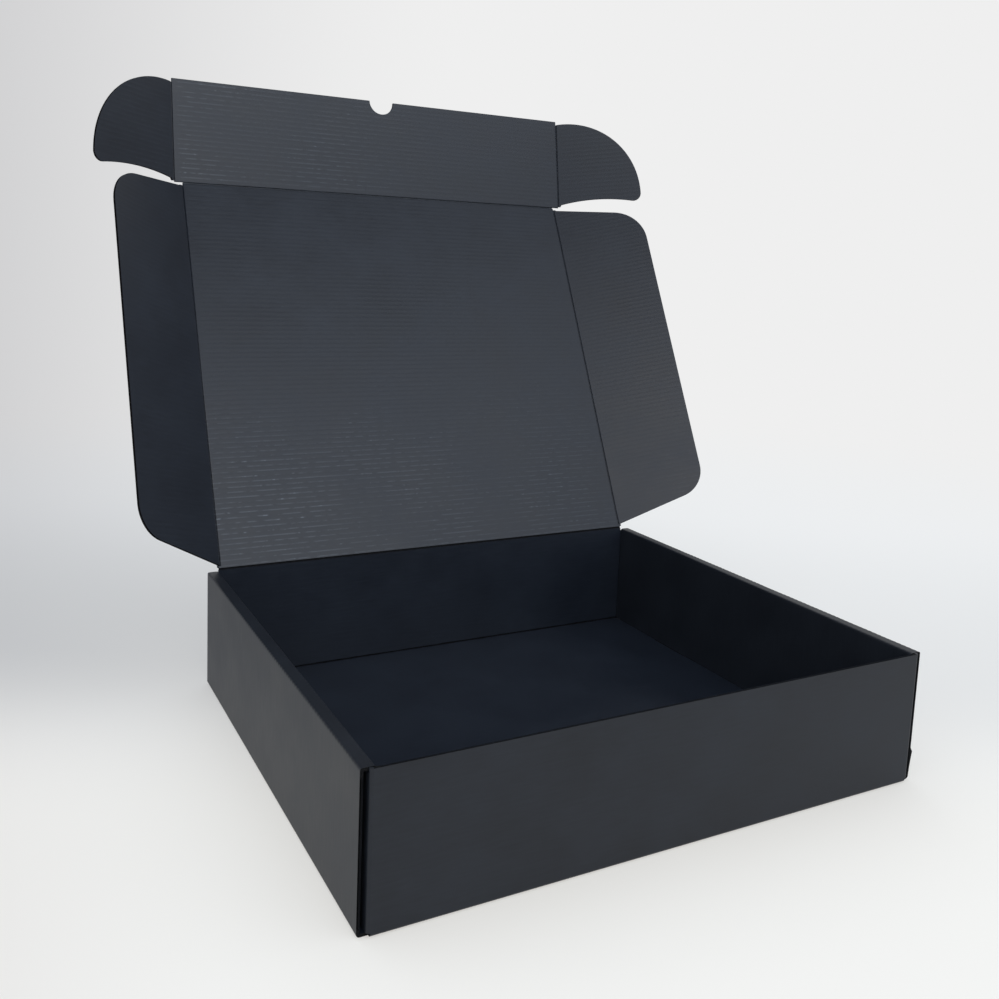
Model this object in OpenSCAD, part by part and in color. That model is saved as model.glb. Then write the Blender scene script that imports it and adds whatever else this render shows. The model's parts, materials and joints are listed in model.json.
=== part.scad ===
// Roll-end mailer box with a front tuck, folded from one die-cut sheet of corrugated board.
// Shown open: the lid leans back and its flaps stand partly folded.
// X runs along the front, Y from the front to the rear, Z up. The origin is the middle of the underside.

/* [Board] */
// Thickness of the corrugated board
board = 1.5; // [1.2:0.1:2]
// Radius inside a bend of the tray
bend_inside = 0.2; // [0.1:0.1:0.8]
// Gap left open at a crease that turns
crease_gap = 0.68; // [0.66:0.02:0.9]
// Gap between layers that lie against each other
layer_gap = 0.2; // [0.15:0.05:0.4]

/* [Tray] */
// Length of the box along its front
box_length = 316; // [260:1:400]
// Depth of the box from front to rear
box_depth = 268; // [220:1:340]
// Height of the tray's walls
box_height = 71.5; // [60:0.5:100]
// Distance of the side walls' cut ends behind the faces of the front and rear walls
side_setback = 2.2; // [2:0.1:3]

/* [Corner flaps and tabs] */
// Length of a corner flap inside the side wall
corner_flap_length = 64; // [40:1:90]
// Chamfer at the free corners of a corner flap
corner_flap_chamfer = 9; // [4:1:20]
// Space above and below a corner flap
corner_flap_space = 0.5; // [0.3:0.1:2]
// Length of a locking tab along the side wall
tab_length = 34; // [20:1:50]
// Distance between the middles of the two tabs on a side wall
tab_spacing = 132; // [90:1:160]
// Space around a tab in its slot
tab_space = 0.3; // [0.2:0.05:0.6]

/* [Lid] */
// Space on each face of an ear in its slot
ear_space = 0.25; // [0.2:0.05:0.5]
// Space between an ear and the top band over its slot
ear_rim_space = 0.5; // [0.4:0.05:1.5]
// Space between an ear in its slot and the base
ear_base_space = 1.2; // [0.3:0.1:4]
// Space between a folded side flap and the inner side wall
side_flap_space = 0.45; // [0.3:0.05:1.5]
// Space between the closed tuck flap and the front wall
tuck_space = 0.25; // [0.2:0.05:1]
// Space between the closed lid and the rim
lid_space = 0.1; // [0.05:0.05:0.5]
// Angle of the lid behind the upright
lid_lean_angle = 26.1; // [0:0.1:40]

/* [Side flaps] */
// Space between a folded side flap and the base
side_flap_floor_space = 0.85; // [0.3:0.05:10]
// Slope of a side flap's front and rear edges
side_flap_slope_angle = 13.5; // [5:0.5:20]
// Distance of a side flap from the front crease
side_flap_front = 2.5; // [2.5:0.1:8]
// Distance of a side flap from the rear crease
side_flap_rear = 2; // [1.5:0.5:8]
// Radius of a side flap's front corner
side_flap_front_radius = 28; // [10:1:35]
// Radius of a side flap's rear corner
side_flap_rear_radius = 21; // [10:1:35]
// Inward fold of the left side flap
left_flap_fold_angle = 41.5; // [10:0.5:60]
// Inward fold of the right side flap
right_flap_fold_angle = 30.6; // [10:0.1:60]

/* [Tuck flap] */
// Space under the closed tuck flap
tuck_floor_space = 0.35; // [0.2:0.05:3]
// Radius of the thumb notch
notch_radius = 9.5; // [6:0.5:14]
// Inward fold of the tuck flap
tuck_fold_angle = 17.2; // [0:0.1:30]

/* [Ears] */
// Reach of an ear from its crease
ear_reach = 68; // [56:1:76]
// Distance from the crease at which an ear's round edge begins
ear_round_start = 5; // [2:0.5:10]
// Radius of an ear's hollow edge
ear_hollow_radius = 150; // [90:5:250]
// Depth of the hollow edge at its middle
ear_hollow_depth = 2.8; // [2:0.1:6]
// Distance of an ear's root from the lid's crease, where it stands in front of the side wall
ear_root = 1.3; // [1:0.1:2]
// Radius of an ear's tip
ear_tip_radius = 6; // [3:0.5:9]
// Inward fold of the left ear
left_ear_fold_angle = 34.7; // [10:0.1:60]
// Inward fold of the right ear
right_ear_fold_angle = 38.5; // [10:0.1:60]

/* [Hidden] */
$fn = 64;

half_board = board / 2;
bend_outside = bend_inside + board;
nose = crease_gap / 2 + half_board;

// Faces of the side wall's layers, from the outside in, as distances from the middle of the box
outer_wall_out = box_length / 2;
outer_wall_in = outer_wall_out - board;
ear_plane = outer_wall_in - ear_space - half_board;
corner_flap_out = ear_plane - half_board - ear_space;
corner_flap_in = corner_flap_out - board;
inner_wall_out = corner_flap_in - layer_gap;
inner_wall_in = inner_wall_out - board;

front_out = box_depth / 2;
side_end = front_out - side_setback;
wall_end_bend = corner_flap_out - bend_outside;

// Creases of the lid
hinge_y = front_out - half_board;
hinge_z = box_height + lid_space + half_board;
lid_half = inner_wall_in - side_flap_space - half_board;
lid_depth = hinge_y + front_out + tuck_space + half_board;
tuck_height = hinge_z - tuck_floor_space;
side_flap_width = hinge_z - board - side_flap_floor_space;

// Edges of an ear, as distances down the tuck flap from the lid's crease
ear_radius = ear_reach - ear_round_start;
ear_top = hinge_z - (box_height - board) + ear_rim_space;
ear_bottom = hinge_z - board - ear_base_space;

// The ear's root ends before it reaches the side wall's cut end
ear_root_end = front_out + tuck_space + half_board - side_end - crease_gap;

colour_outside = "#3c3d40";
colour_inside = "#33373c";

// A right-angle bend: the quarter ring about the origin in the quadrant that the signs give
module bend(sign_x, sign_y) {
    low_x = sign_x > 0 ? 0 : -bend_outside;
    low_y = sign_y > 0 ? 0 : -bend_outside;
    intersection() {
        difference() {
            circle(bend_outside);
            circle(bend_inside);
        }
        translate([low_x, low_y]) square(bend_outside);
    }
}

// Section of the right side wall in X and Z: base bend, outer wall, top band and inner wall
module side_wall_section() {
    base_bend = outer_wall_out - bend_outside;
    band_inner = inner_wall_in + bend_outside;
    rim_bend = box_height - bend_outside;
    translate([base_bend, bend_outside]) bend(1, -1);
    translate([outer_wall_in, bend_outside]) square([board, rim_bend - bend_outside]);
    translate([base_bend, rim_bend]) bend(1, 1);
    translate([band_inner, box_height - board]) square([base_bend - band_inner, board]);
    translate([band_inner, rim_bend]) bend(-1, 1);
    translate([inner_wall_in, board + layer_gap]) square([board, rim_bend - board - layer_gap]);
}

// Section of a wall that rises from the base at its bend, in Y and Z, with a cut top edge
module end_wall_section(top) {
    translate([-front_out + bend_outside, bend_outside]) bend(-1, -1);
    translate([-front_out, bend_outside]) square([board, top - bend_outside]);
}

// Corner flap at the right end of the front wall, as it stands inside the side wall. Its bend is as high as
// the wall that it grows from, and the flap itself is lower, to pass under the top band.
module corner_flap(wall_top) {
    low = board + corner_flap_space;
    high = box_height - board - corner_flap_space;
    root = -front_out + bend_outside;
    free_end = root + corner_flap_length;
    chamfer = corner_flap_chamfer;
    translate([wall_end_bend, root, low]) linear_extrude(wall_top - low) bend(1, -1);
    translate([corner_flap_in, 0, 0]) rotate([90, 0, 90]) linear_extrude(board) polygon([
        [root, low],
        [free_end - chamfer, low],
        [free_end, low + chamfer],
        [free_end, high - chamfer],
        [free_end - chamfer, high],
        [root, high]
    ]);
}

// Tab below the right inner wall, cut narrower towards its end
module tab(middle) {
    top = board + layer_gap;
    taper = board;
    translate([inner_wall_in, middle, 0]) rotate([90, 0, 90]) linear_extrude(board) polygon([
        [-tab_length / 2, top],
        [-tab_length / 2 + taper, layer_gap],
        [tab_length / 2 - taper, layer_gap],
        [tab_length / 2, top]
    ]);
}

// Slot in the base for one tab
module tab_slot(middle) {
    slot_length = tab_length + 2 * tab_space;
    translate([inner_wall_in - tab_space, middle - slot_length / 2, -board])
        cube([board + 2 * tab_space, slot_length, 3 * board]);
}

module side_wall() {
    rotate([90, 0, 0]) linear_extrude(2 * side_end, center = true) side_wall_section();
    for (end = [-1, 1]) tab(end * tab_spacing / 2);
}

module front_wall() {
    rotate([90, 0, 90]) linear_extrude(2 * wall_end_bend, center = true) end_wall_section(box_height);
}

// The rear wall's top edge is pressed round at the lid's crease
module rear_wall() {
    nose_z = hinge_z - nose;
    mirror([0, 1, 0]) rotate([90, 0, 90]) {
        linear_extrude(2 * wall_end_bend, center = true) end_wall_section(box_height - board);
        linear_extrude(2 * (inner_wall_in - layer_gap), center = true) {
            translate([-front_out, box_height - board]) square([board, nose_z - box_height + board]);
            translate([-hinge_y, nose_z]) intersection() {
                circle(half_board);
                translate([-board, 0]) square(2 * board);
            }
        }
    }
}

module base_panel() {
    base_x = outer_wall_out - bend_outside;
    base_y = front_out - bend_outside;
    difference() {
        union() {
            translate([-base_x, -side_end, 0]) cube([2 * base_x, 2 * side_end, board]);
            translate([-wall_end_bend, -base_y, 0]) cube([2 * wall_end_bend, 2 * base_y, board]);
        }
        for (side = [0, 1], end = [-1, 1]) mirror([side, 0, 0]) tab_slot(end * tab_spacing / 2);
    }
}

module tray() {
    color(colour_outside) {
        base_panel();
        front_wall();
        rear_wall();
        for (side = [0, 1]) mirror([side, 0, 0]) {
            side_wall();
            corner_flap(box_height);
            mirror([0, 1, 0]) corner_flap(box_height - board);
        }
    }
}

// A slab's section across a crease: its edge is pressed round at crease_gap / 2 from the crease
module creased_section(length) {
    translate([nose, 0]) circle(half_board);
    translate([nose, -half_board]) square([length - nose, board]);
}

// The same with a crease at both ends, about the middle of the panel
module twice_creased_section(half) {
    for (side = [-1, 1]) translate([side * (half - nose), 0]) circle(half_board);
    translate([nose - half, -half_board]) square([2 * (half - nose), board]);
}

// Frames of the lid, of the tuck flap, and of a panel folded inwards from either
module at_lid() translate([0, hinge_y, hinge_z]) rotate([-lid_lean_angle, 0, 0]) children();
module at_tuck() at_lid() translate([0, 0, lid_depth]) rotate([tuck_fold_angle, 0, 0]) children();
module folded_from(half, side, fold) {
    mirror([side < 0 ? 1 : 0, 0, 0]) translate([half, 0, 0]) rotate([0, 0, -fold]) children();
}

// A board's thickness given to an outline in X and Z
module board_outline() rotate([90, 0, 0]) linear_extrude(board, center = true) children();

module lid_panel() {
    color(colour_inside) at_lid() intersection() {
        linear_extrude(lid_depth) twice_creased_section(lid_half);
        translate([0, 0, lid_depth / 2]) rotate([0, 90, 0])
            linear_extrude(2 * lid_half, center = true) twice_creased_section(lid_depth / 2);
    }
}

// A corner rounded to a true arc: what lies beyond the arc's middle is cut and the arc's own circle is put back
module rounded_corner(before, corner, after, radius) {
    to_before = (before - corner) / norm(before - corner);
    to_after = (after - corner) / norm(after - corner);
    half_angle = acos(to_before * to_after) / 2;
    reach = radius / tan(half_angle);
    middle = corner + (to_before + to_after) / norm(to_before + to_after) * radius / sin(half_angle);
    difference() {
        children();
        translate(middle) polygon([
            [0, 0],
            2 * (corner + to_before * reach - middle),
            2 * (corner - middle),
            2 * (corner + to_after * reach - middle)
        ]);
    }
    translate(middle) circle(radius);
}

// Outline of a side flap: distance from its crease, and distance along the lid
module side_flap_outline() {
    drop = side_flap_width * tan(side_flap_slope_angle);
    rear_root = [0, side_flap_rear];
    rear_corner = [side_flap_width, side_flap_rear + drop];
    front_corner = [side_flap_width, lid_depth - side_flap_front - drop];
    front_root = [0, lid_depth - side_flap_front];
    rounded_corner(rear_root, rear_corner, front_corner, side_flap_rear_radius)
        rounded_corner(rear_corner, front_corner, front_root, side_flap_front_radius)
            polygon([rear_root, rear_corner, front_corner, front_root]);
}

module side_flap(side, fold) {
    color(colour_inside) at_lid() folded_from(lid_half, side, fold) intersection() {
        board_outline() side_flap_outline();
        linear_extrude(lid_depth) creased_section(side_flap_width + board);
    }
}

module left_side_flap() side_flap(-1, left_flap_fold_angle);
module right_side_flap() side_flap(1, right_flap_fold_angle);

module tuck_flap() {
    color(colour_inside) at_tuck() difference() {
        intersection() {
            linear_extrude(tuck_height) twice_creased_section(ear_plane);
            rotate([0, -90, 0]) linear_extrude(2 * ear_plane, center = true) creased_section(tuck_height);
        }
        translate([0, 0, tuck_height]) rotate([90, 0, 0]) cylinder(h = 2 * board, r = notch_radius, center = true);
    }
}

// Outline of an ear: distance from its crease, and distance from the lid's crease along the tuck flap.
// The tip's arc touches the outer arc from inside and the hollow arc from outside.
module ear_outline() {
    outer_middle = [ear_round_start, ear_bottom - ear_radius];
    hollow_middle = [(ear_reach - ear_tip_radius) / 2, ear_top + ear_hollow_depth - ear_hollow_radius];
    span = hollow_middle - outer_middle;
    from_outer = ear_radius - ear_tip_radius;
    from_hollow = ear_hollow_radius + ear_tip_radius;
    along = (from_outer * from_outer - from_hollow * from_hollow + span * span) / (2 * norm(span));
    across = sqrt(from_outer * from_outer - along * along);
    unit = span / norm(span);
    tip = outer_middle + unit * along + [-unit[1], unit[0]] * across;
    to_outer = (tip - outer_middle) / norm(tip - outer_middle);
    to_hollow = (hollow_middle - tip) / norm(hollow_middle - tip);
    beyond = 2 * ear_tip_radius;
    difference() {
        intersection() {
            translate(outer_middle) circle(ear_radius, $fn = 128);
            square([ear_reach, ear_bottom]);
        }
        translate(hollow_middle) circle(ear_hollow_radius, $fn = 128);
        polygon([tip, tip + to_outer * beyond, tip + (to_outer + to_hollow) * 2 * beyond, tip + to_hollow * beyond]);
    }
    translate(tip) circle(ear_tip_radius);
    polygon([[0, ear_root], [ear_root, ear_root], [ear_root_end, ear_root_end], [ear_root_end, ear_tip_radius],
        [0, ear_tip_radius]]);
}

module ear(side, fold) {
    color(colour_inside) at_tuck() folded_from(ear_plane, side, fold) intersection() {
        board_outline() ear_outline();
        linear_extrude(tuck_height) creased_section(ear_reach + board);
    }
}

module left_ear() ear(-1, left_ear_fold_angle);
module right_ear() ear(1, right_ear_fold_angle);

tray();
lid_panel();
left_side_flap();
right_side_flap();
tuck_flap();
left_ear();
right_ear();
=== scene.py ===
"""The looks of a black corrugated mailer box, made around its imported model, in metres.

The box is one sheet of E-flute board. Each panel is made here as real board, two kraft liners with the
fluting between them, so that its faces show faint ribs and its cut edges show the ends of the flutes.
A panel is worked in its own millimetres: along the flutes, across them, and towards its inner face.
"""
import json
import math

import bmesh
import bpy
import numpy as np
from mathutils import Matrix, Vector


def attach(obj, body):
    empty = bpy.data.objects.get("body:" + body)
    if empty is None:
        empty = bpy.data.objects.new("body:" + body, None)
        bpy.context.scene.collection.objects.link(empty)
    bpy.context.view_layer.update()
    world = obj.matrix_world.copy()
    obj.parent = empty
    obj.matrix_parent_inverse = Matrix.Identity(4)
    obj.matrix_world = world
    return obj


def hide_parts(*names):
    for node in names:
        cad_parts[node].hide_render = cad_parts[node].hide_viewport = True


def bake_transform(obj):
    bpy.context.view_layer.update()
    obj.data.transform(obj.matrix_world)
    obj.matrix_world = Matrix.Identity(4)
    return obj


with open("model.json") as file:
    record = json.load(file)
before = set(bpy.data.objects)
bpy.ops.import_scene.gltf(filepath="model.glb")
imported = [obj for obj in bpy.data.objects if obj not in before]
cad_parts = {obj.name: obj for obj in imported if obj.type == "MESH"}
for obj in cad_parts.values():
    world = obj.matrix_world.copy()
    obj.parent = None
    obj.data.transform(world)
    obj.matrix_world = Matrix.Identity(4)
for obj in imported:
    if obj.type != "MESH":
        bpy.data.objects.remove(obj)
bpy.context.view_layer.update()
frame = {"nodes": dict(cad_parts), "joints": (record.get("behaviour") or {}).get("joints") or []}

# Corrugated board, in millimetres
BOARD = 1.5
HALF = BOARD / 2
LINER = 0.22
FLUTING = 0.18
PITCH = 3.3                # E-flute, from one flute to the next
RIB_INSIDE = 0.026         # how far the inner liner sinks between two flutes
RIB_OUTSIDE = 0.018        # the outer liner is heavier and hardly sinks
NOSE = 1.1                 # how far a creased edge is pressed round
CRUSHED = 5.0              # width of the pressed board beside a crease

MM = 0.001
INSIDE, OUTSIDE, CUT, HOLLOW = range(4)


# Colours and nodes

def linear(hex_colour):
    """An sRGB hex value as linear RGBA."""
    channels = [int(hex_colour[i:i + 2], 16) / 255 for i in (1, 3, 5)]
    return [c / 12.92 if c <= 0.04045 else ((c + 0.055) / 1.055) ** 2.4 for c in channels] + [1.0]


def add_node(tree, kind, settings=None, links=None):
    """Adds a node. Settings are its properties or its inputs' values, and links feed its inputs."""
    node = tree.nodes.new(kind)
    for key, value in (settings or {}).items():
        if isinstance(key, str) and hasattr(node, key):
            setattr(node, key, value)
        else:
            node.inputs[key].default_value = value
    for key, output in (links or {}).items():
        tree.links.new(output, node.inputs[key])
    return node


def product(tree, *factors):
    """The product of its factors. A factor is a node's output, or a soft fade: a value, the two levels
    between which it fades, and its strengths below and above them."""
    result = None
    for factor in factors:
        if isinstance(factor, tuple):
            value, low, high, below, above = factor
            settings = {"interpolation_type": "SMOOTHSTEP", "From Min": low, "From Max": high,
                        "To Min": below, "To Max": above}
            factor = add_node(tree, "ShaderNodeMapRange", settings, {"Value": value}).outputs[0]
        if result is None:
            result = factor
        else:
            both = {0: result, 1: factor}
            result = add_node(tree, "ShaderNodeMath", {"operation": "MULTIPLY"}, both).outputs[0]
    return result


def new_material(name):
    """A material whose node tree is still empty."""
    material = bpy.data.materials.new(name)
    material.use_nodes = True
    material.node_tree.nodes.clear()
    return material, material.node_tree


# Where the painted crest highlights and their wear change on the flat sheet, in metres: at the lid, the tuck
# flap and the left flaps
AT_LID = (0.205, 0.208)
AT_TUCK_FLAP = (0.474, 0.476)
AT_LEFT_FLAPS = (-0.1525, -0.1500)


def crest_scuffs_and_glints(tree, sheet):
    """How far the crests of the ribs are painted paler, in thin broken lines 7 mm long and in brighter dashes
    of 4 mm: partly rubbed wear, and partly painted highlight where the crests catch the light. The lid shows
    it most near its crease, the tuck flap at its left, where the light falls brightest, and the tray and the
    left flaps, in shade, hardly at all."""
    x, y, _ = add_node(tree, "ShaderNodeSeparateXYZ", {}, {0: sheet}).outputs
    turns = add_node(tree, "ShaderNodeMath", {"operation": "MULTIPLY", 1: 2 * math.pi / (PITCH * MM)}, {0: y})
    crest = add_node(tree, "ShaderNodeMath", {"operation": "COSINE"}, {0: turns.outputs[0]})
    marks = []
    # Of each kind of mark: how many to a metre, the noise where it begins and is full, and its strength
    for per_metre, low, high, strength in ((150.0, 0.36, 0.60, 0.42), (240.0, 0.58, 0.78, 1.0)):
        scale = (per_metre, 0.73 / (PITCH * MM), 1.0)
        place = add_node(tree, "ShaderNodeMapping", {"Scale": scale}, {"Vector": sheet})
        dash = add_node(tree, "ShaderNodeTexNoise", {"Scale": 1.0, "Detail": 1.0, "Roughness": 0.4},
                        {"Vector": place.outputs["Vector"]})
        marks.append(product(tree, (dash.outputs["Fac"], low, high, 0.0, strength)))
    either = add_node(tree, "ShaderNodeMath", {"operation": "MAXIMUM"}, {0: marks[0], 1: marks[1]}).outputs[0]
    # The painted highlights and wear on the crests gather in patches about 70 mm across
    patches = add_node(tree, "ShaderNodeTexNoise", {"Scale": 14.0, "Detail": 1.0}, {"Vector": sheet})
    # The lid's lower left and the tuck flap's left are where the light falls brightest: painted highlight as
    # much as wear
    lid_scuffs_and_glints = product(tree, (y, 0.225, 0.36, 1.0, 0.12), (x, -0.15, 0.15, 0.95, 0.35))
    tuck_scuffs_and_glints = product(tree, (x, -0.15, 0.08, 0.65, 0.06))
    scuffs_and_glints = add_node(tree, "ShaderNodeMix", {}, {0: product(tree, (y, *AT_TUCK_FLAP, 0.0, 1.0)),
                                                2: lid_scuffs_and_glints, 3: tuck_scuffs_and_glints}).outputs[0]
    off_tray_and_flaps = product(tree, (y, *AT_LID, 0.06, 1.0), (x, *AT_LEFT_FLAPS, 0.12, 1.0))
    return product(tree, either, (crest.outputs[0], 0.45, 1.0, 0.0, 1.0),
                   (patches.outputs["Fac"], 0.38, 0.60, 0.25, 1.0), off_tray_and_flaps, scuffs_and_glints)


def kraft_liner(name, dark, light, roughness, shine_level, fibre_depth, scuff_and_glint=None):
    """Dyed kraft liner: long paper fibres lie mostly along the machine's direction, which gives the eye a
    soft streaky cloud and a dull satin shine. With a crest colour, the ribs' crests are painted towards it,
    as wear and as painted highlight."""
    material, tree = new_material(name)
    sheet = add_node(tree, "ShaderNodeUVMap", {"uv_map": "sheet"}).outputs["UV"]
    # Clouds of the pulp, about 45 mm across, as the light shows them on a large panel
    cloud = add_node(tree, "ShaderNodeTexNoise", {"Scale": 22.0, "Detail": 3.0, "Roughness": 0.55},
                     {"Vector": sheet})
    # Streaks of fibre, 14 mm long and 1.4 mm wide, ten times as coarse as real fibres, so that they show
    stretched = add_node(tree, "ShaderNodeMapping", {"Scale": (70.0, 700.0, 1.0)}, {"Vector": sheet})
    streak = add_node(tree, "ShaderNodeTexNoise", {"Scale": 1.0, "Detail": 4.0, "Roughness": 0.6},
                      {"Vector": stretched.outputs["Vector"]})
    # Grain of the paper, 0.9 mm
    grain = add_node(tree, "ShaderNodeTexNoise", {"Scale": 1100.0, "Detail": 2.0, "Roughness": 0.7},
                     {"Vector": sheet})
    cloud_part = add_node(tree, "ShaderNodeMath", {"operation": "MULTIPLY", 1: 0.55},
                          {0: cloud.outputs["Fac"]})
    mixed = add_node(tree, "ShaderNodeMath", {"operation": "MULTIPLY_ADD", 1: 0.45},
                     {0: streak.outputs["Fac"], 2: cloud_part.outputs[0]})
    tone = add_node(tree, "ShaderNodeValToRGB", {}, {"Fac": mixed.outputs[0]})
    tone.color_ramp.elements[0].position, tone.color_ramp.elements[0].color = 0.33, linear(dark)
    tone.color_ramp.elements[1].position, tone.color_ramp.elements[1].color = 0.67, linear(light)

    colour = tone.outputs["Color"]
    # Painted highlight and wear on the ribs' crests, mixed into the liner's colour
    if scuff_and_glint:
        colour = add_node(tree, "ShaderNodeMix", {"data_type": "RGBA", 7: linear(scuff_and_glint)},
                          {0: crest_scuffs_and_glints(tree, sheet), 6: colour}).outputs[2]

    shine = add_node(tree, "ShaderNodeMapRange", {"From Min": 0.3, "From Max": 0.7,
                                                  "To Min": roughness - 0.05, "To Max": roughness + 0.06},
                     {"Value": mixed.outputs[0]})
    relief = add_node(tree, "ShaderNodeMath", {"operation": "ADD"},
                      {0: grain.outputs["Fac"], 1: streak.outputs["Fac"]})
    bump = add_node(tree, "ShaderNodeBump", {"Strength": 0.35, "Distance": fibre_depth * MM},
                    {"Height": relief.outputs[0]})
    paper = add_node(tree, "ShaderNodeBsdfPrincipled",
                     {"IOR": 1.5, "Metallic": 0.0, "Specular IOR Level": shine_level},
                     {"Base Color": colour, "Roughness": shine.outputs[0], "Normal": bump.outputs["Normal"]})
    add_node(tree, "ShaderNodeOutputMaterial", {}, {"Surface": paper.outputs[0]})
    return material


def rough_paper(name, dark, light, roughness, fleck):
    """Bare paper, cut or inside the board: a dull dark surface with paler flecks of fibre."""
    material, tree = new_material(name)
    place = add_node(tree, "ShaderNodeTexCoord").outputs["Object"]
    # Fibres standing out of the cut, 0.6 mm apart
    fibres = add_node(tree, "ShaderNodeTexNoise", {"Scale": 1600.0, "Detail": 3.0, "Roughness": 0.65},
                      {"Vector": place})
    tone = add_node(tree, "ShaderNodeValToRGB", {}, {"Fac": fibres.outputs["Fac"]})
    tone.color_ramp.elements[0].position, tone.color_ramp.elements[0].color = 0.42, linear(dark)
    tone.color_ramp.elements[1].position, tone.color_ramp.elements[1].color = fleck, linear(light)
    bump = add_node(tree, "ShaderNodeBump", {"Strength": 0.5, "Distance": 0.06 * MM},
                    {"Height": fibres.outputs["Fac"]})
    paper = add_node(tree, "ShaderNodeBsdfPrincipled",
                     {"IOR": 1.5, "Metallic": 0.0, "Specular IOR Level": 0.12, "Roughness": roughness},
                     {"Base Color": tone.outputs["Color"], "Normal": bump.outputs["Normal"]})
    add_node(tree, "ShaderNodeOutputMaterial", {}, {"Surface": paper.outputs[0]})
    return material


# The inner liner is a cooler black with more satin, and its ribs' crests are painted paler, as wear and as
# painted highlight
inner_liner = kraft_liner("inner_kraft_liner", "#181d26", "#212731", 0.38, 0.35, 0.05, "#596069")
# The outer liner is a warmer, duller black, and smoother to the eye
outer_liner = kraft_liner("outer_kraft_liner", "#191c22", "#22262d", 0.46, 0.26, 0.03)
cut_edge = rough_paper("cut_board_edge", "#0a0b0d", "#1e1e1f", 0.95, 0.75)
fluting_paper = rough_paper("fluting_paper", "#0e0f12", "#1d1d20", 0.95, 0.75)
BOARD_PAPERS = [inner_liner, outer_liner, cut_edge, fluting_paper]


# Panels and their frames

joints = {j["name"]: j for j in frame["joints"]}


def place_of(joint):
    return Vector(joints[joint]["pos_m"])


def panel_frame(origin, along, across):
    """A panel's own axes: along the flutes, across them, and out of its inner face."""
    axes = Matrix((along, across, along.cross(across))).transposed().to_4x4()
    axes.translation = origin
    return axes


def folded(frame_in, across_axis_angle, origin):
    """A frame folded about its own across axis, by an angle in radians, and set at a new origin."""
    out = frame_in @ Matrix.Rotation(across_axis_angle, 4, "Y")
    out.translation = origin
    return out


RIGHTWARD = Vector((1, 0, 0))
up_lid = (place_of("tuck_flap_crease") - place_of("lid_hinge")).normalized()
up_tuck = Matrix.Rotation(math.radians(joints["tuck_flap_crease"]["range_deg"][1]), 3, "X") @ up_lid
lid_frame = panel_frame(place_of("lid_hinge"), RIGHTWARD, up_lid)
tuck_frame = panel_frame(place_of("tuck_flap_crease"), RIGHTWARD, up_tuck)


def fold_of(joint):
    """How far a flap stands folded in: it is flat at its joint's upper limit."""
    return math.radians(joints[joint]["range_deg"][1])


# The left pieces hang from the high end of their flutes' axis, and the right ones from its low end
left_flap_frame = folded(lid_frame, fold_of("left_side_flap_crease"), place_of("left_side_flap_crease"))
right_flap_frame = folded(lid_frame, -fold_of("right_side_flap_crease"), place_of("right_side_flap_crease"))
left_ear_frame = folded(tuck_frame, fold_of("left_ear_crease"), place_of("left_ear_crease"))
right_ear_frame = folded(tuck_frame, -fold_of("right_ear_crease"), place_of("right_ear_crease"))


def smooth_step(x):
    """Goes softly from 0 to 1 as x does, and stays there."""
    x = np.clip(x, 0, 1)
    return x * x * (3 - 2 * x)


def mottle(x, y, size, seed):
    """A smooth random field from 0 to 1, with clouds of the given size in millimetres."""
    values = np.random.default_rng(seed).random((64, 64))
    x, y = x / size + 24, y / size + 24
    ix, iy = np.floor(x).astype(int), np.floor(y).astype(int)
    fx, fy = smooth_step(x - ix), smooth_step(y - iy)
    at = lambda i, j: values[i % 64, j % 64]
    low = at(ix, iy) * (1 - fx) + at(ix + 1, iy) * fx
    high = at(ix, iy + 1) * (1 - fx) + at(ix + 1, iy + 1) * fx
    return low * (1 - fy) + high * fy


def new_object(name, vertices, faces):
    """An object from its points and faces, put in the scene."""
    mesh = bpy.data.meshes.new(name)
    mesh.from_pydata([tuple(v) for v in vertices], [], faces)
    mesh.update()
    piece = bpy.data.objects.new(name, mesh)
    bpy.context.scene.collection.objects.link(piece)
    return piece


def turn_outward(piece):
    """Turns the faces of a closed piece to face out."""
    bm = bmesh.new()
    bm.from_mesh(piece.data)
    bmesh.ops.recalc_face_normals(bm, faces=bm.faces)
    bm.to_mesh(piece.data)
    bm.free()
    return piece


def swept(name, rows):
    """A closed solid through rows of points, each row a closed section of the same count."""
    count = len(rows[0])
    faces = []
    for i in range(len(rows) - 1):
        for j in range(count):
            k = (j + 1) % count
            faces.append((i * count + j, i * count + k, (i + 1) * count + k, (i + 1) * count + j))
    last = (len(rows) - 1) * count
    faces += [tuple(range(count - 1, -1, -1)), tuple(range(last, last + count))]
    return turn_outward(new_object(name, [p for row in rows for p in row], faces))


def closed_copy(node, axes, name):
    """A CAD node's shape as a closed mesh in a panel's own millimetres."""
    bm = bmesh.new()
    bm.from_mesh(frame["nodes"][node].data)
    bmesh.ops.remove_doubles(bm, verts=bm.verts, dist=1e-6)
    bm.transform(Matrix.Scale(1 / MM, 4) @ axes.inverted())
    bmesh.ops.recalc_face_normals(bm, faces=bm.faces)
    mesh = bpy.data.meshes.new(name)
    bm.to_mesh(mesh)
    bm.free()
    piece = bpy.data.objects.new(name, mesh)
    bpy.context.scene.collection.objects.link(piece)
    return piece


def carve(shape, tool, operation):
    """Cuts the tool out of the shape, keeps what both hold, or joins them, and removes the tool."""
    step = shape.modifiers.new("carve", "BOOLEAN")
    step.operation, step.solver, step.object = operation, "MANIFOLD", tool
    bpy.context.view_layer.update()
    made = bpy.data.meshes.new_from_object(shape.evaluated_get(bpy.context.evaluated_depsgraph_get()))
    shape.modifiers.clear()
    shape.data = made
    bpy.data.objects.remove(tool)
    return shape


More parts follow.
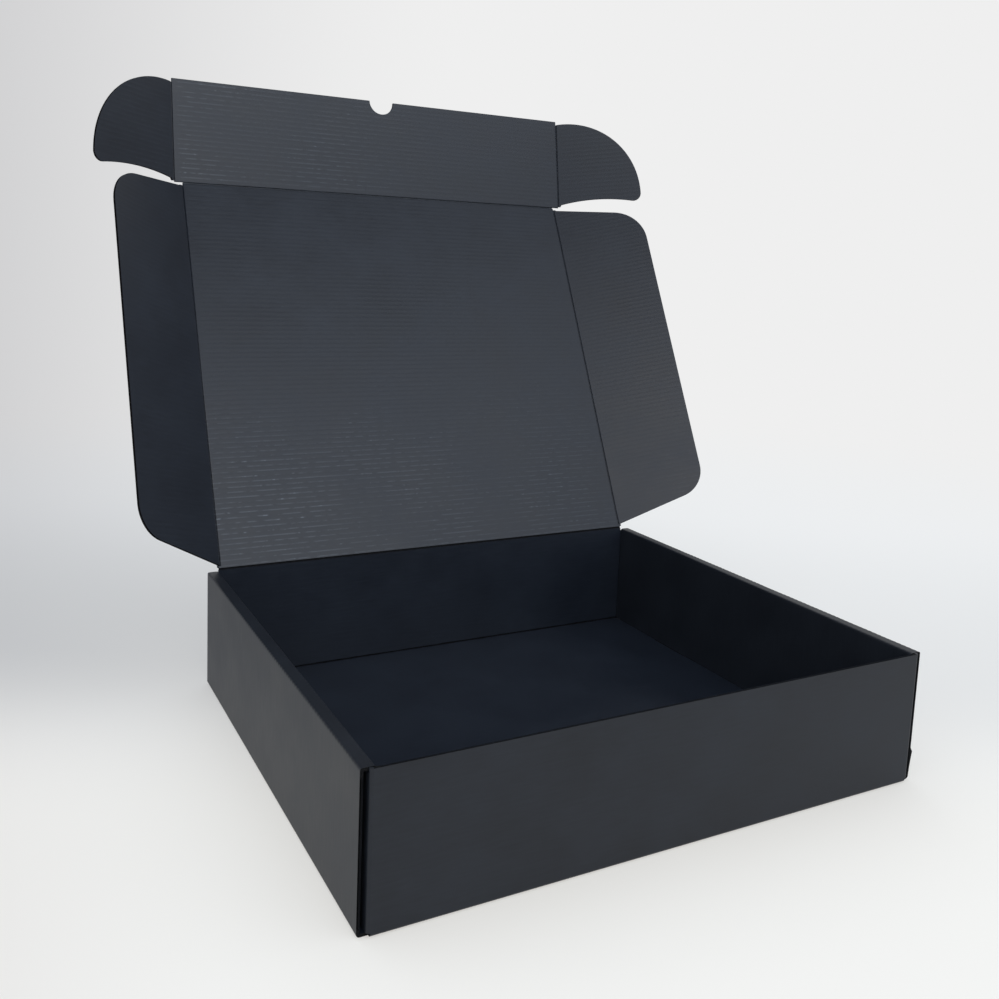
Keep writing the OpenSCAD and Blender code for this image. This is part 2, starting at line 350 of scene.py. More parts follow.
def stations(low, high, spacing, creased_low, creased_high):
    """Places to cut a slab, evenly spaced, with closer ones beside a crease."""
    even = np.linspace(low, high, max(2, int(round((high - low) / spacing)) + 1))
    near = np.array([0.0, 1.2, 2.0, 3.0, 4.0, 5.0, 7.0])
    least = 0.3
    extra = [low + near] * creased_low + [high - near] * creased_high
    every = np.unique(np.concatenate([even, *extra]).round(4))
    return every[np.concatenate([[True], np.diff(every) > least])]


def ribbed_slab(name, low, high, creased, seed):
    """A closed slab of board whose two faces sink between the flutes. The ribs are strong in some patches
    and weak in others, and are pressed flat beside a crease."""
    margin = 1.0
    a = stations(low[0] - margin, high[0] + margin, 12.0, "along_low" in creased, "along_high" in creased)
    first, last = math.floor((low[1] - margin) / PITCH * 8), math.ceil((high[1] + margin) / PITCH * 8)
    c = np.arange(first, last + 1) * PITCH / 8
    aa, cc = np.meshgrid(a, c)
    pressed = np.ones_like(aa)
    for side, distance in (("along_low", aa - low[0]), ("along_high", high[0] - aa),
                           ("across_low", cc - low[1]), ("across_high", high[1] - cc)):
        if side in creased:
            pressed *= smooth_step((distance - NOSE) / CRUSHED)
    strength = pressed * (0.45 + 0.55 * mottle(aa, cc, 38.0, seed))
    wave = 2 * math.pi * cc / PITCH
    skin = 0.004
    inside = HALF - skin - RIB_INSIDE * strength * (1 - (0.5 + 0.5 * np.cos(wave)) ** 1.6)
    outside = HALF - skin - RIB_OUTSIDE * strength * (1 - (0.5 - 0.5 * np.cos(wave)) ** 1.6)
    rows, columns = aa.shape
    top = np.stack([aa, cc, inside], -1).reshape(-1, 3)
    bottom = np.stack([aa, cc, -outside], -1).reshape(-1, 3)
    number = np.arange(rows * columns).reshape(rows, columns)
    q = [number[:-1, :-1], number[:-1, 1:], number[1:, 1:], number[1:, :-1]]
    faces = np.stack(q, -1).reshape(-1, 4)
    under = faces[:, ::-1] + rows * columns
    rim = np.concatenate([number[0, :], number[1:, -1], number[-1, -2::-1], number[-2:0:-1, 0]])
    following = np.roll(rim, -1)
    walls = np.stack([rim, rim + rows * columns, following + rows * columns, following], -1)
    every = np.concatenate([faces, under, walls]).tolist()
    return new_object(name, np.concatenate([top, bottom]), every)


def flute_hollows(name, along, across, axes=None):
    """The hollows between liners and fluting as long closed prisms, from along[0] to along[1]."""
    reach = HALF - LINER - FLUTING / 2
    start = 0.3
    c = np.linspace(start, PITCH - start, 9)
    floor = reach * np.cos(2 * math.pi * c / PITCH) + 0.6 * FLUTING
    roof = HALF - LINER
    section = np.array([(c[0], roof), (c[-1], roof)] + list(zip(c[::-1], floor[::-1])))
    vertices, faces = [], []
    for k in range(math.floor(across[0] / PITCH), math.ceil(across[1] / PITCH)):
        for shift, side in ((0.0, 1), (PITCH / 2, -1)):
            ring = section * (1, side) + (k * PITCH + shift, 0)
            base, count = len(vertices), len(ring)
            for a in along:
                vertices += [(a, p[0], p[1]) for p in ring]
            for i in range(count):
                j = (i + 1) % count
                faces.append((base + i, base + j, base + count + j, base + count + i))
            faces.append(tuple(range(base + count - 1, base - 1, -1)))
            faces.append(tuple(range(base + count, base + 2 * count)))
    piece = new_object(name, vertices, faces)
    if axes is not None:
        piece.data.transform(Matrix.Scale(1 / MM, 4) @ axes @ Matrix.Scale(MM, 4))
    return turn_outward(piece)


def face_table(mesh):
    """Centres and normals of a mesh's faces."""
    centres = np.zeros(len(mesh.polygons) * 3)
    normals = np.zeros(len(mesh.polygons) * 3)
    mesh.polygons.foreach_get("center", centres)
    mesh.polygons.foreach_get("normal", normals)
    return centres.reshape(-1, 3), normals.reshape(-1, 3)


SHARP_FROM = math.radians(28)


def dress(piece, papers, sheet_uv):
    """Gives a piece the board's four papers by face, and its place on the flat sheet as UV, in metres."""
    mesh = piece.data
    mesh.materials.clear()
    for paper in BOARD_PAPERS:
        mesh.materials.append(paper)
    mesh.polygons.foreach_set("material_index", papers.astype(np.int32))
    for old in list(mesh.uv_layers):
        mesh.uv_layers.remove(old)
    layer = mesh.uv_layers.new(name="sheet")
    layer.data.foreach_set("uv", sheet_uv.astype(np.float32).ravel())
    mesh.polygons.foreach_set("use_smooth", np.ones(len(mesh.polygons), bool))
    mesh.set_sharp_from_angle(angle=SHARP_FROM)
    mesh.update()


def keep_flats_flat(mesh, normals):
    """Ends the smooth shading where a bend runs into a flat wall, so that the wall shades as flat."""
    edge = np.zeros(len(mesh.loops), int)
    mesh.loops.foreach_get("edge_index", edge)
    _, of_face = loop_places(mesh)
    pairs = of_face[np.argsort(edge, kind="stable")].reshape(-1, 2)
    flat = np.abs(normals).max(1) > 0.99995
    marked = mesh.attributes.get("sharp_edge") or mesh.attributes.new("sharp_edge", "BOOLEAN", "EDGE")
    sharp = np.zeros(len(mesh.edges), bool)
    marked.data.foreach_get("value", sharp)
    marked.data.foreach_set("value", sharp | (flat[pairs[:, 0]] != flat[pairs[:, 1]]))
    mesh.update()


def loop_places(mesh):
    """Each face corner's vertex place, and the number of the face it belongs to."""
    places = np.zeros(len(mesh.vertices) * 3)
    mesh.vertices.foreach_get("co", places)
    corner = np.zeros(len(mesh.loops), int)
    mesh.loops.foreach_get("vertex_index", corner)
    sizes = np.zeros(len(mesh.polygons), int)
    mesh.polygons.foreach_get("loop_total", sizes)
    return places.reshape(-1, 3)[corner], np.repeat(np.arange(len(sizes)), sizes)


def board_panel(name, node, body, axes, creased, open_ends, sheet_place, seed):
    """A flat panel of real board in the CAD node's outline."""
    outline = closed_copy(node, axes, name)
    corners = np.array([v.co for v in outline.data.vertices])
    low, high = corners.min(0), corners.max(0)
    slab = ribbed_slab(name + "_slab", low, high, creased, seed)
    carve(outline, slab, "INTERSECT")
    if open_ends:
        # The hollows stop short of a crease, where the board is pressed flat, and run out at a cut edge
        first = low[0] + (7.0 if "along_low" in creased else -3.0)
        last = high[0] - (7.0 if "along_high" in creased else -3.0)
        bottom = low[1] + (6.0 if "across_low" in creased else -6.0)
        top = high[1] - (6.0 if "across_high" in creased else -6.0)
        carve(outline, flute_hollows(name + "_flutes", (first, last), (bottom, top)), "DIFFERENCE")
    mesh = outline.data
    centres, normals = face_table(mesh)
    papers = np.full(len(centres), CUT)
    flat = np.abs(normals[:, 2]) > 0.5
    near_face = np.abs(centres[:, 2]) > 0.6
    papers[flat & ~near_face] = HOLLOW
    papers[flat & near_face & (normals[:, 2] > 0)] = INSIDE
    papers[flat & near_face & (normals[:, 2] < 0)] = OUTSIDE
    for side, distance in (("along_low", centres[:, 0] - low[0]), ("along_high", high[0] - centres[:, 0]),
                           ("across_low", centres[:, 1] - low[1]), ("across_high", high[1] - centres[:, 1])):
        if side in creased:
            pressed_edge = distance < HALF + 0.1
            papers[pressed_edge & (centres[:, 2] >= 0)] = INSIDE
            papers[pressed_edge & (centres[:, 2] < 0)] = OUTSIDE
    places, of_face = loop_places(mesh)
    uv = (places[:, :2] + sheet_place) * MM
    cut = papers[of_face] == CUT
    uv[cut] = np.stack([places[cut, 0] + places[cut, 1], places[cut, 2]], -1) * MM
    dress(outline, papers, uv)
    mesh.transform(axes @ Matrix.Scale(MM, 4))
    mesh.update()
    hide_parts(node)
    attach(outline, body)
    return outline


# Where each panel lies on the flat sheet, whose middle is the middle of the base
LID_ON_SHEET = 134.0 + 72.4
TUCK_ON_SHEET = LID_ON_SHEET + 268.25
FLAP_CREASE = 150.1
EAR_CREASE = 155.5
ALL_ROUND = ("along_low", "along_high", "across_low", "across_high")
board_panel("lid_board", "lid_panel", "lid", lid_frame, ALL_ROUND, False, (0, LID_ON_SHEET), 1)
board_panel("tuck_flap_board", "tuck_flap", "tuck_flap", tuck_frame,
            ("along_low", "along_high", "across_low"), True, (0, TUCK_ON_SHEET), 2)
board_panel("left_side_flap_board", "left_side_flap", "left_side_flap", left_flap_frame,
            ("along_high",), True, (-FLAP_CREASE, LID_ON_SHEET), 3)
board_panel("right_side_flap_board", "right_side_flap", "right_side_flap", right_flap_frame,
            ("along_low",), True, (FLAP_CREASE, LID_ON_SHEET), 4)
board_panel("left_ear_board", "left_ear", "left_ear", left_ear_frame,
            ("along_high",), True, (-EAR_CREASE, TUCK_ON_SHEET), 5)
board_panel("right_ear_board", "right_ear", "right_ear", right_ear_frame,
            ("along_low",), True, (EAR_CREASE, TUCK_ON_SHEET), 6)


# The tray

OUTER_WALL = 157.25        # middles of the walls' boards, from the middle of the box
END_WALL = 133.25
WALL_END = 131.8           # the side walls' cut ends
WALL_TOP = 71.5
BEND_OUTSIDE = 1.7
FLAP_BEND = 152.8          # the front and rear walls turn into the corner flaps here
OUTER_FOLD = 156.3         # middles of the top bands' two folds
INNER_FOLD = 153.0
GROOVE = 0.75              # half the width of the creased line inside a fold


def wall_hollows():
    """The open flutes at the tray's cut edges, which lie along the flutes and so show them from the side."""
    quarter = PITCH / 4
    front = panel_frame(Vector((0, -END_WALL, WALL_TOP - quarter)) * MM, RIGHTWARD, Vector((0, 0, 1)))
    yield flute_hollows("front_wall_flutes", (-150.0, 150.0), (-PITCH, PITCH), front)
    for side in (-1, 1):
        for end in (-1, 1):
            origin = Vector((side * OUTER_WALL, end * (WALL_END - quarter), 0)) * MM
            wall = panel_frame(origin, Vector((0, 0, 1)), Vector((0, end, 0)))
            yield flute_hollows("side_wall_flutes", (3.5, 67.5), (-PITCH, PITCH), wall)


def fold_grooves():
    """The creased lines inside the folds where the front and rear walls rise from the base."""
    for end in (-1, 1):
        line = np.linspace(-152.4, 152.4, 204)
        width = GROOVE + 0.3 * (mottle(line, line * 0 + 7.0 * end, 5.0, 31) - 0.5)
        angles = np.linspace(0, 2 * math.pi, 12, endpoint=False)
        yield swept("fold_groove", [[(x, end * (END_WALL - HALF) + w * math.cos(t), BOARD + w * math.sin(t))
                                     for t in angles] for x, w in zip(line, width)])


def rim_edges():
    """The top bands' folds run across the flutes, so the board stands sharp at each flute and sinks between
    two. The board's rounded bends are filled out to those edges, inside the same height and width."""
    line = np.arange(-WALL_END, WALL_END, PITCH / 6)
    for side in (-1, 1):
        for middle, outward, seed in ((OUTER_FOLD, 1, 41), (INNER_FOLD, -1, 43)):
            flute = 0.5 + 0.5 * np.cos(2 * math.pi * line / PITCH)
            power = 4.0 + 3.0 * (flute * mottle(line, line * 0 + 3.0, 9.0, seed + side) - 0.3)
            rows = []
            for y, n in zip(line, power):
                curve = [(-0.5, BEND_OUTSIDE)]
                for t in np.linspace(0.0, math.pi / 2, 9):
                    sideways, up = math.sin(t) ** (2 / n), math.cos(t) ** (2 / n)
                    curve.append((sideways * BEND_OUTSIDE, up * BEND_OUTSIDE))
                curve += [(BEND_OUTSIDE, -0.5), (1.1, -0.5), (0.8, 0.8), (-0.5, 1.1)]
                low = WALL_TOP - BEND_OUTSIDE
                rows.append([(side * (middle + outward * u), y, low + v) for u, v in curve])
            yield swept("rim_edge", rows)


def bruised_foot():
    """The foot of the right wall's front end was knocked, and its liner stands out there by up to 1.5 mm."""
    front, outer, inner = -WALL_END + 0.02, OUTER_WALL + HALF, OUTER_WALL + HALF - 0.4
    bulge = ((2.0, 0.02), (6.0, 0.3), (10.0, 0.75), (13.0, 1.15), (15.2, 1.5), (16.5, 0.6), (17.5, 0.02))
    rows = []
    for z, out in bulge:
        section = [(inner, 0), (outer + out, 0), (outer + 0.8 * out, 0.8), (outer + 0.3 * out, 2.4),
                   (outer - 0.05, 4.0), (inner, 4.0)]
        rows.append([(x, front + back, z) for x, back in section])
    return swept("bruised_foot", rows)


def tray_board():
    """The folded tray: its walls' visible faces, inside the box too, are the outer liner, rolled over."""
    tray = closed_copy("tray", Matrix.Identity(4), "tray_board")
    for hollows in wall_hollows():
        carve(tray, hollows, "DIFFERENCE")
    for groove in fold_grooves():
        carve(tray, groove, "DIFFERENCE")
    for edge in rim_edges():
        carve(tray, edge, "UNION")
    carve(tray, bruised_foot(), "UNION")
    mesh = tray.data
    centres, normals = face_table(mesh)
    x, y, z = np.abs(centres[:, 0]), np.abs(centres[:, 1]), centres[:, 2]
    nx, ny, nz = np.abs(normals[:, 0]), np.abs(normals[:, 1]), normals[:, 2]
    papers = np.full(len(centres), OUTSIDE)
    # The inner liner shows on the end walls' inner faces and on the base
    between_end_walls = (y < END_WALL) & (x < FLAP_BEND)
    papers[between_end_walls & (y > WALL_END + 0.1)] = INSIDE
    papers[(nz > 0.5) & (z < BOARD + 0.5) & (x < 155)] = INSIDE
    # Cut edges: the side walls' ends, the end walls' tops, the corner flaps and the base's slots
    papers[(ny > 0.9) & (np.abs(y - WALL_END) < 0.05)] = CUT
    papers[(nz > 0.9) & (np.abs(z - WALL_TOP) < 0.05) & (y > END_WALL - HALF - 0.1) & (x < FLAP_BEND)] = CUT
    papers[(np.abs(nz) > 0.9) & (z > BOARD + 0.1) & (z < 69.9) & (x > 152.85)] = CUT
    papers[(np.abs(nz) < 0.5) & (z < BOARD - 0.05) & (z > 0.05) & (x < 153.2) & (y < 100)] = CUT
    # The hollows of the flutes, and the creased lines inside the folds. The folds' grooves take the dark
    # fluting paper: partly a cracked crease, partly painted shade in the groove
    in_front = (centres[:, 1] < -132.75) & (centres[:, 1] > -133.75) & (z > 60) & (z < 71.45) & (x < 150.5)
    in_side = (x > 156.75) & (x < 157.75) & (y > 126) & (y < 131.75) & (z > 3.4) & (z < 67.6)
    curved = np.maximum(ny, np.abs(nz)) < 0.9999
    fold_groove_shade = (np.hypot(y - END_WALL + HALF, z - BOARD) < GROOVE + 0.3) & curved & (x < FLAP_BEND)
    papers[in_front | in_side | fold_groove_shade] = HOLLOW
    places, of_face = loop_places(mesh)
    side, end = np.sign(centres[of_face, 0]), np.sign(centres[of_face, 1])
    uv = places[:, :2].copy()
    on_side = nx[of_face] > np.maximum(ny, np.abs(nz))[of_face]
    on_end = (ny > np.maximum(nx, np.abs(nz)))[of_face]
    uv[on_side] = np.stack([side * (158 + places[:, 2]), places[:, 1]], -1)[on_side]
    uv[on_end] = np.stack([places[:, 0], end * (134 + places[:, 2])], -1)[on_end]
    dress(tray, papers, uv * MM)
    keep_flats_flat(mesh, normals)
    mesh.transform(Matrix.Scale(MM, 4))
    mesh.update()
    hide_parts("tray")
    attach(tray, "tray")


tray_board()


# Creases

def turned(out_a, out_b, share):
    """The direction that lies a share of the way from out_a to out_b."""
    angle = out_a.angle(out_b)
    if angle < 1e-6:
        return out_a.copy()
    return (out_a * math.sin((1 - share) * angle) + out_b * math.sin(share * angle)) / math.sin(angle)


# A crease's section: share of the turn, distance into the panel on that side, height towards the outer face,
# and the paper of the face that follows. SKIN lies a hair outside the panels' faces.
SKIN = 0.752
# A flap's crease is a smooth bend outside and a pressed groove inside
FLAP_SECTION = [(0, 1.9, 0.735, OUTSIDE), (0, 1.5, SKIN, OUTSIDE), (0, 0.6, SKIN, OUTSIDE),
                (0, 0, SKIN, OUTSIDE), (0.25, 0, SKIN, OUTSIDE), (0.5, 0, SKIN, OUTSIDE),
                (0.75, 0, SKIN, OUTSIDE), (1, 0, SKIN, OUTSIDE), (1, 0.6, SKIN, OUTSIDE),
                (1, 1.5, SKIN, OUTSIDE),
                (1, 1.9, 0.735, INSIDE), (1, 1.5, 0.5, INSIDE), (1, 0.42, 0.08, INSIDE),
                (0.5, 0, 0.12, INSIDE), (0, 0.42, 0.08, INSIDE), (0, 1.5, 0.5, INSIDE)]
# The lid leans back from the wall, so its crease is a groove outside and two lips with a dark slit inside
LID_SECTION = [(0, 1.9, 0.735, OUTSIDE), (0, 1.5, SKIN, OUTSIDE), (0, 0.75, SKIN, OUTSIDE),
               (0, 0.4, 0.45, OUTSIDE), (0.5, 0, 0.38, OUTSIDE), (1, 0.4, 0.45, OUTSIDE),
               (1, 0.75, SKIN, OUTSIDE), (1, 1.5, SKIN, OUTSIDE), (1, 1.9, 0.735, INSIDE),
               (1, 1.6, -0.70, INSIDE), (1, 1.1, -SKIN, INSIDE), (1, 0.55, -0.73, HOLLOW),
               (1, 0.36, -0.4, HOLLOW), (0.5, 0, -0.15, HOLLOW), (0, 0.36, -0.4, HOLLOW),
               (0, 0.55, -0.73, INSIDE), (0, 1.1, -SKIN, INSIDE), (0, 1.6, -0.70, INSIDE)]


def crease(name, hinge, axis, span, panel_a, panel_b, section, sheet_place, seed):
    """The pressed board that joins two panels. It runs along axis over span.
    panel_a and panel_b are each (direction into the panel, direction out of its outer face)."""
    steps = max(2, int((span[1] - span[0]) / 2.5))
    line = np.linspace(span[0], span[1], steps + 1)
    crimp = mottle(line, np.full_like(line, 5.0), 3.0, seed) - 0.5
    waver = mottle(line, np.full_like(line, 90.0), 11.0, seed) - 0.5
    rows, uv_rows = [], []
    for along, sink, shift in zip(line, crimp, waver):
        row = []
        for share, into, height, _ in section:
            out = turned(panel_a[1], panel_b[1], share)
            away = panel_a[0] if share < 0.5 else panel_b[0]
            groove = 0.10 * sink if into < 0.5 and abs(height) < 0.5 else 0.0
            sideways = 0.06 * shift * (into < 0.5)
            point = axis * along + away * into + out * (height + groove) + axis.cross(out) * sideways
            row.append(hinge + point * MM)
            uv_rows.append((along, into if share >= 0.5 else -into))
        rows.append(row)
    piece = swept(name, rows)
    papers = [paper for _, _, _, paper in section] * steps + [CUT, CUT]
    corner = np.zeros(len(piece.data.loops), int)
    piece.data.loops.foreach_get("vertex_index", corner)
    on_sheet = np.array(uv_rows)[corner]
    if sheet_place[2] == "across":
        on_sheet = on_sheet[:, ::-1]
    uv = (on_sheet + np.array(sheet_place[:2], float)) * MM
    dress(piece, np.array(papers), uv)
    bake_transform(piece)
    return piece


def axes_of(panel):
    """A panel frame's directions: along the flutes, across them, and out of its inner face."""
    return [Vector(panel.col[i][:3]) for i in range(3)]


lid_along, lid_across, lid_inner = axes_of(lid_frame)
tuck_along, tuck_across, tuck_inner = axes_of(tuck_frame)
crease("lid_crease", place_of("lid_hinge"), RIGHTWARD, (-150.9, 150.9),
       (Vector((0, 0, -1)), Vector((0, 1, 0))), (lid_across, -lid_inner), LID_SECTION,
       (0, LID_ON_SHEET, "along"), 11)
crease("tuck_crease", place_of("tuck_flap_crease"), RIGHTWARD, (-149.4, 149.4),
       (-lid_across, -lid_inner), (tuck_across, -tuck_inner), FLAP_SECTION,
       (0, TUCK_ON_SHEET, "along"), 12)
for side, word, flap_frame, ear_frame in ((-1, "left", left_flap_frame, left_ear_frame),
                                          (1, "right", right_flap_frame, right_ear_frame)):
    flap_along, _, flap_inner = axes_of(flap_frame)
    ear_along, _, ear_inner = axes_of(ear_frame)
    crease(word + "_side_flap_bend", place_of(word + "_side_flap_crease"),
           lid_across, (0.8, 266.6), (-side * lid_along, -lid_inner), (side * flap_along, -flap_inner),
           FLAP_SECTION, (side * FLAP_CREASE, LID_ON_SHEET, "across"), 13 + side)
    crease(word + "_ear_bend", place_of(word + "_ear_crease"),
           tuck_across, (1.4, 69.5), (-side * tuck_along, -tuck_inner), (side * ear_along, -ear_inner),
           FLAP_SECTION, (side * EAR_CREASE, TUCK_ON_SHEET, "across"), 23 + side)


# Camera, light and stage

ROOM_LIGHT = (0.75, 1.3)   # the even light's strength at the horizon and from straight above
BAND_PANES = ((-0.75, 1.0), (-0.60, 1.0), (-0.42, 0.2), (-0.28, 0.3), (0.05, 0.9), (0.29, 0.88), (0.41, 1.0),
              (0.52, 0.32), (0.65, 0.25))  # how the band's strength runs from left to right
RIGHT_SIDE = 0.4           # strength of the backdrop's far right, out of the picture
RIGHT_FADE = (0.82, 0.97)  # sines of the bearings between which it gets there
CEILING = 0.25             # strength of the ceiling, out of the picture too
CEILING_FADE = (0.60, 0.85)  # sines of the elevations between which it gets there
WINDOW_BAND = 3.3          # how much brighter the window band looks than the backdrop
BAND_LOW = (0.18, 0.55)    # sines of the elevations between which the band comes in, and goes out
BAND_HIGH = (0.60, 0.72)
BACKDROP_FADE = (-0.2, 0.45)  # sines of the bearings between which the backdrop brightens to the right, out of its painted shade
LAMP_POWER = 14.0
FLOOR_WARMTH = (1.04, 1.01, 0.955)   # the far floor's own colour makes up for the room light's blue
NEAR_FLOOR = ("#e6e1db", "#f8f5ef")  # the floor's tones beside the box, from left to right; the left one is darker with painted shade
NEAR_FADE = (-0.25, 0.30)  # sines of the bearings between which they change
FAR_FLOOR = (0.44, 0.66)   # metres in front of the camera between which it takes the backdrop's tone
SWEEP_SHADE = 0.92           # painted shade: the floor is this much darker where the paper would curve up into the backdrop
SWEEP_IN = (0.48, 0.60)    # metres in front of the camera between which it darkens so
SWEEP_OUT = (0.68, 1.10)   # and between which it is as light as the backdrop again
FLOOR_HAZE = 0.45          # share of the floor's own tone near the box, which softens its shadow

CAMERA_PLACE = (-0.2934, -0.4776, 0.2680)
CAMERA_TURN = math.radians(27.789)
STANDPOINT = (CAMERA_PLACE[0], CAMERA_PLACE[1], 0.0)
LOOKING = (math.sin(CAMERA_TURN), math.cos(CAMERA_TURN), 0.0)


def photo_camera():
    """The photograph's camera: 27.8 degrees round to the left of the front, looking down by 7.6."""
    turn, down, roll = CAMERA_TURN, math.radians(7.580), math.radians(2.265)
    focal, picture = 1012.25, 999.0
    middle_x, middle_y = 481.85, 395.70
    ahead = Vector((math.sin(turn) * math.cos(down), math.cos(turn) * math.cos(down), -math.sin(down)))
    level = Vector((math.cos(turn), -math.sin(turn), 0))
    upward = level.cross(ahead)
    right = level * math.cos(roll) + upward * math.sin(roll)
    up = upward * math.cos(roll) - level * math.sin(roll)
    data = bpy.data.cameras.new("photo_camera")
    data.sensor_width = 36.0
    data.lens = focal / picture * 36.0
    data.shift_x = (picture / 2 - middle_x) / picture
    data.shift_y = (middle_y - picture / 2) / picture
    data.clip_start, data.clip_end = 0.05, 60.0
    camera = bpy.data.objects.new("photo_camera", data)
    camera.matrix_world = Matrix((right, up, -ahead)).transposed().to_4x4()
    camera.location = CAMERA_PLACE
    bpy.context.scene.collection.objects.link(camera)
    bpy.context.scene.camera = camera


def soft_light(name, place, target, size, power, colour):
    data = bpy.data.lights.new(name, "AREA")
    data.shape, data.size, data.energy, data.color = "DISK", size, power, linear(colour)[:3]
    lamp = bpy.data.objects.new(name, data)
    lamp.location = place
    lamp.rotation_mode = "QUATERNION"
    lamp.rotation_quaternion = (Vector(target) - Vector(place)).to_track_quat("-Z", "Y")
    bpy.context.scene.collection.objects.link(lamp)


def backdrop_tone(tree, bearing):
    """The backdrop's colour, darker to the left as in the photograph: painted shade."""
    return add_node(tree, "ShaderNodeMix", {"data_type": "RGBA", 6: linear("#c4c4c6"), 7: linear("#efefef")},
                    {0: product(tree, (bearing, *BACKDROP_FADE, 0.0, 1.0))}).outputs[2]


def window_panes(tree, bearing):
    """How the window band's strength runs from left to right, on a soft curve."""
    share = add_node(tree, "ShaderNodeMapRange", {"From Min": -1.0, "From Max": 1.0}, {"Value": bearing})
    node = add_node(tree, "ShaderNodeValToRGB", {}, {"Fac": share.outputs[0]})
    curve = node.color_ramp
    curve.interpolation = "EASE"
    while len(curve.elements) < len(BAND_PANES):
        curve.elements.new(0.5)
    for element, (place, level) in zip(curve.elements, BAND_PANES):
        element.position, element.color = (place + 1) / 2, (level, level, level, 1.0)
    return node.outputs["Color"]


def backdrop_light(tree):
    """The pale backdrop. Reflections also see what lies out of the picture: a band of window behind the
    camera, a dim ceiling and a dim far right."""
    way = add_node(tree, "ShaderNodeTexCoord").outputs["Generated"]
    x, y, z = add_node(tree, "ShaderNodeSeparateXYZ", {}, {0: way}).outputs
    path = add_node(tree, "ShaderNodeLightPath")
    unseen = product(tree, (path.outputs["Is Camera Ray"], 0.0, 1.0, 1.0, 0.0))
    plain = product(tree, (z, *CEILING_FADE, 1.0, CEILING), (x, *RIGHT_FADE, 1.0, RIGHT_SIDE))
    strength = add_node(tree, "ShaderNodeMix", {2: 1.0}, {0: unseen, 3: plain})
    band = product(tree, (z, *BAND_LOW, 0.0, WINDOW_BAND), (z, *BAND_HIGH, 1.0, 0.0),
                   (y, -0.7, -0.2, 1.0, 0.0), window_panes(tree, x), unseen)
    wall = add_node(tree, "ShaderNodeBackground", {}, {"Color": backdrop_tone(tree, x),
                                                       "Strength": strength.outputs[0]})
    window = add_node(tree, "ShaderNodeBackground", {"Color": linear("#dde6f0")}, {"Strength": band})
    return add_node(tree, "ShaderNodeAddShader", {}, {0: wall.outputs[0], 1: window.outputs[0]})


def room_light(tree):
    """The even light on everything, which falls a little more from above."""
    way = add_node(tree, "ShaderNodeTexCoord").outputs["Generated"]
    height = add_node(tree, "ShaderNodeSeparateXYZ", {}, {0: way}).outputs[2]
    strength = add_node(tree, "ShaderNodeMapRange", {"To Min": ROOM_LIGHT[0], "To Max": ROOM_LIGHT[1]},
                        {"Value": height}).outputs[0]
    return add_node(tree, "ShaderNodeBackground", {"Color": linear("#e2ebf6")}, {"Strength": strength})


def seen_ray(tree):
    """1 for the rays that show the backdrop itself: the camera's, reflections and what glass lets through."""
    path = add_node(tree, "ShaderNodeLightPath")
    direct = add_node(tree, "ShaderNodeMath", {"operation": "MAXIMUM"},
                      {0: path.outputs["Is Camera Ray"], 1: path.outputs["Is Transmission Ray"]})
    return add_node(tree, "ShaderNodeMath", {"operation": "MAXIMUM"},
                    {0: direct.outputs[0], 1: path.outputs["Is Glossy Ray"]}).outputs[0]


def studio():
    """A pale floor that runs into a pale backdrop, an even room light and one large soft window light."""
    world = bpy.data.worlds.new("studio")
    bpy.context.scene.world = world
    world.use_nodes = True
    tree = world.node_tree
    tree.nodes.clear()
    both = add_node(tree, "ShaderNodeMixShader", {}, {0: seen_ray(tree)})
    tree.links.new(room_light(tree).outputs[0], both.inputs[1])
    tree.links.new(backdrop_light(tree).outputs[0], both.inputs[2])
    add_node(tree, "ShaderNodeOutputWorld", {}, {"Surface": both.outputs[0]})

    radii, spokes = [0.3, 0.6, 1.0, 2.0, 4.0, 9.0], 48
    bearings = [2 * math.pi * i / spokes for i in range(spokes)]
    vertices = [(0, 0, 0)] + [(r * math.cos(t), r * math.sin(t), 0) for r in radii for t in bearings]
    faces = [(0, 1 + i, 1 + (i + 1) % spokes) for i in range(spokes)]
    for ring in range(len(radii) - 1):
        base = 1 + ring * spokes
        faces += [(base + i, base + spokes + i, base + spokes + (i + 1) % spokes, base + (i + 1) % spokes)
                  for i in range(spokes)]
    floor = new_object("studio_floor", vertices, faces)
    floor.location.z = -0.0002
    floor.data.materials.append(floor_paint())

    soft_light("window_light", (-0.5, -2.1, 1.5), (0, 0, 0.15), 1.6, LAMP_POWER, "#fffaf4")


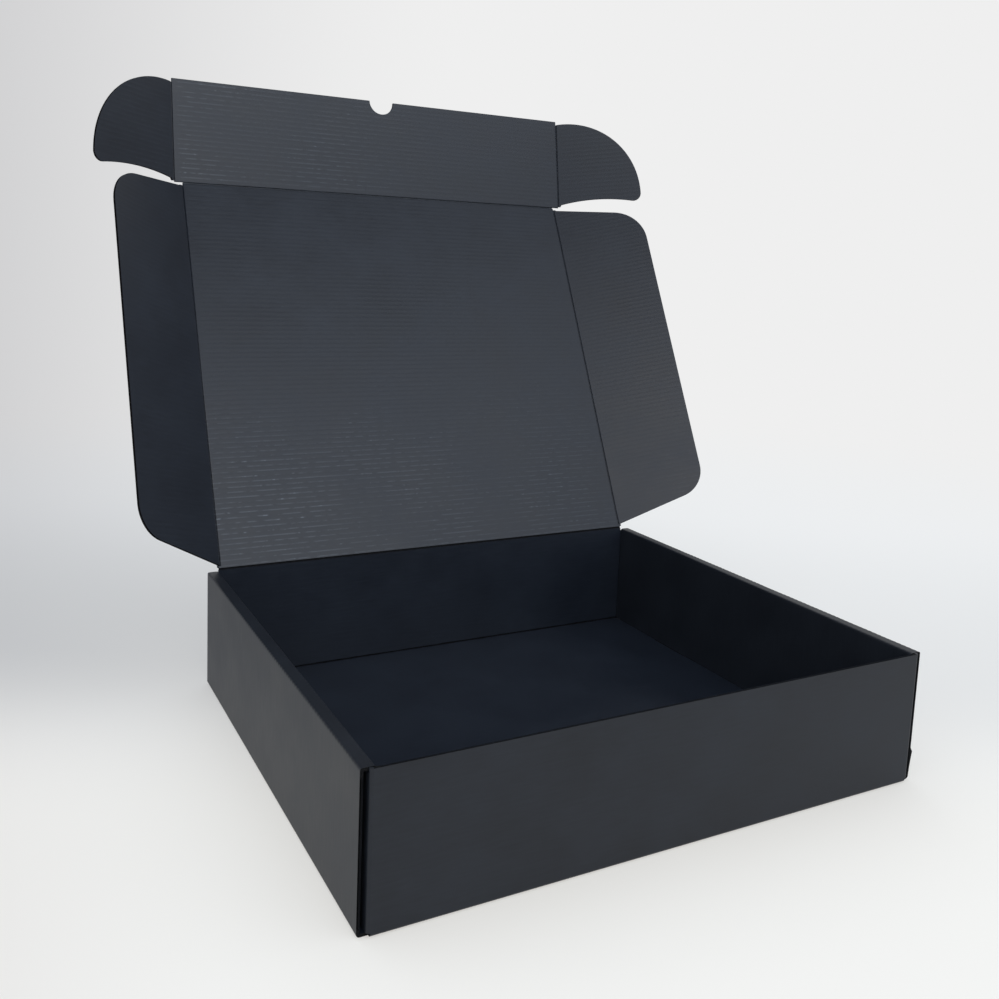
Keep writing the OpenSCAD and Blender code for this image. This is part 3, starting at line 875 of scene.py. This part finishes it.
def floor_paint():
    """A white sweep of paper: it takes the box's soft shadow, and further back it fades into the backdrop,
    which is darker to the left with painted shade. Painted shade also darkens the floor beside the box to
    the left, and in a band where the paper would curve up into the backdrop."""
    material, tree = new_material("studio_floor")
    place = add_node(tree, "ShaderNodeTexCoord").outputs["Object"]
    distance = add_node(tree, "ShaderNodeVectorMath", {"operation": "LENGTH"}, {0: place})
    from_here = add_node(tree, "ShaderNodeVectorMath", {"operation": "SUBTRACT", 1: STANDPOINT}, {0: place})
    way = add_node(tree, "ShaderNodeVectorMath", {"operation": "NORMALIZE"}, {0: from_here.outputs[0]})
    way_x = add_node(tree, "ShaderNodeSeparateXYZ", {}, {0: way.outputs[0]}).outputs[0]
    depth = add_node(tree, "ShaderNodeVectorMath", {"operation": "DOT_PRODUCT", 1: LOOKING},
                     {0: from_here.outputs[0]}).outputs["Value"]
    # Painted shade in a band where the paper would curve up into the backdrop
    sweep_shade = product(tree, (depth, *SWEEP_IN, 1.0, SWEEP_SHADE), (depth, *SWEEP_OUT, 1.0, 1 / SWEEP_SHADE))
    far = add_node(tree, "ShaderNodeVectorMath", {"operation": "SCALE"},
                   {0: backdrop_tone(tree, way_x), "Scale": sweep_shade}).outputs[0]
    far_paint = add_node(tree, "ShaderNodeVectorMath", {"operation": "MULTIPLY", 1: FLOOR_WARMTH}, {0: far})
    left_tone, right_tone = linear(NEAR_FLOOR[0]), linear(NEAR_FLOOR[1])
    near = add_node(tree, "ShaderNodeMix", {"data_type": "RGBA", 6: left_tone, 7: right_tone},
                    {0: product(tree, (way_x, *NEAR_FADE, 0.0, 1.0))}).outputs[2]
    further = product(tree, (depth, *FAR_FLOOR, 0.0, 1.0))
    tone = add_node(tree, "ShaderNodeMix", {"data_type": "RGBA"}, {0: further, 6: near, 7: far})
    lit = add_node(tree, "ShaderNodeMix", {"data_type": "RGBA"},
                   {0: further, 6: near, 7: far_paint.outputs[0]})
    paint = add_node(tree, "ShaderNodeBsdfDiffuse", {}, {"Color": lit.outputs[2]})
    haze = add_node(tree, "ShaderNodeEmission", {"Strength": 1.0}, {"Color": tone.outputs[2]})
    share = product(tree, (distance.outputs["Value"], 0.35, 1.3, FLOOR_HAZE, 1.0), seen_ray(tree))
    both = add_node(tree, "ShaderNodeMixShader", {}, {0: share})
    tree.links.new(paint.outputs[0], both.inputs[1])
    tree.links.new(haze.outputs[0], both.inputs[2])
    add_node(tree, "ShaderNodeOutputMaterial", {}, {"Surface": both.outputs[0]})
    return material


photo_camera()
studio()
view = bpy.context.scene.view_settings
view.view_transform = "Standard"
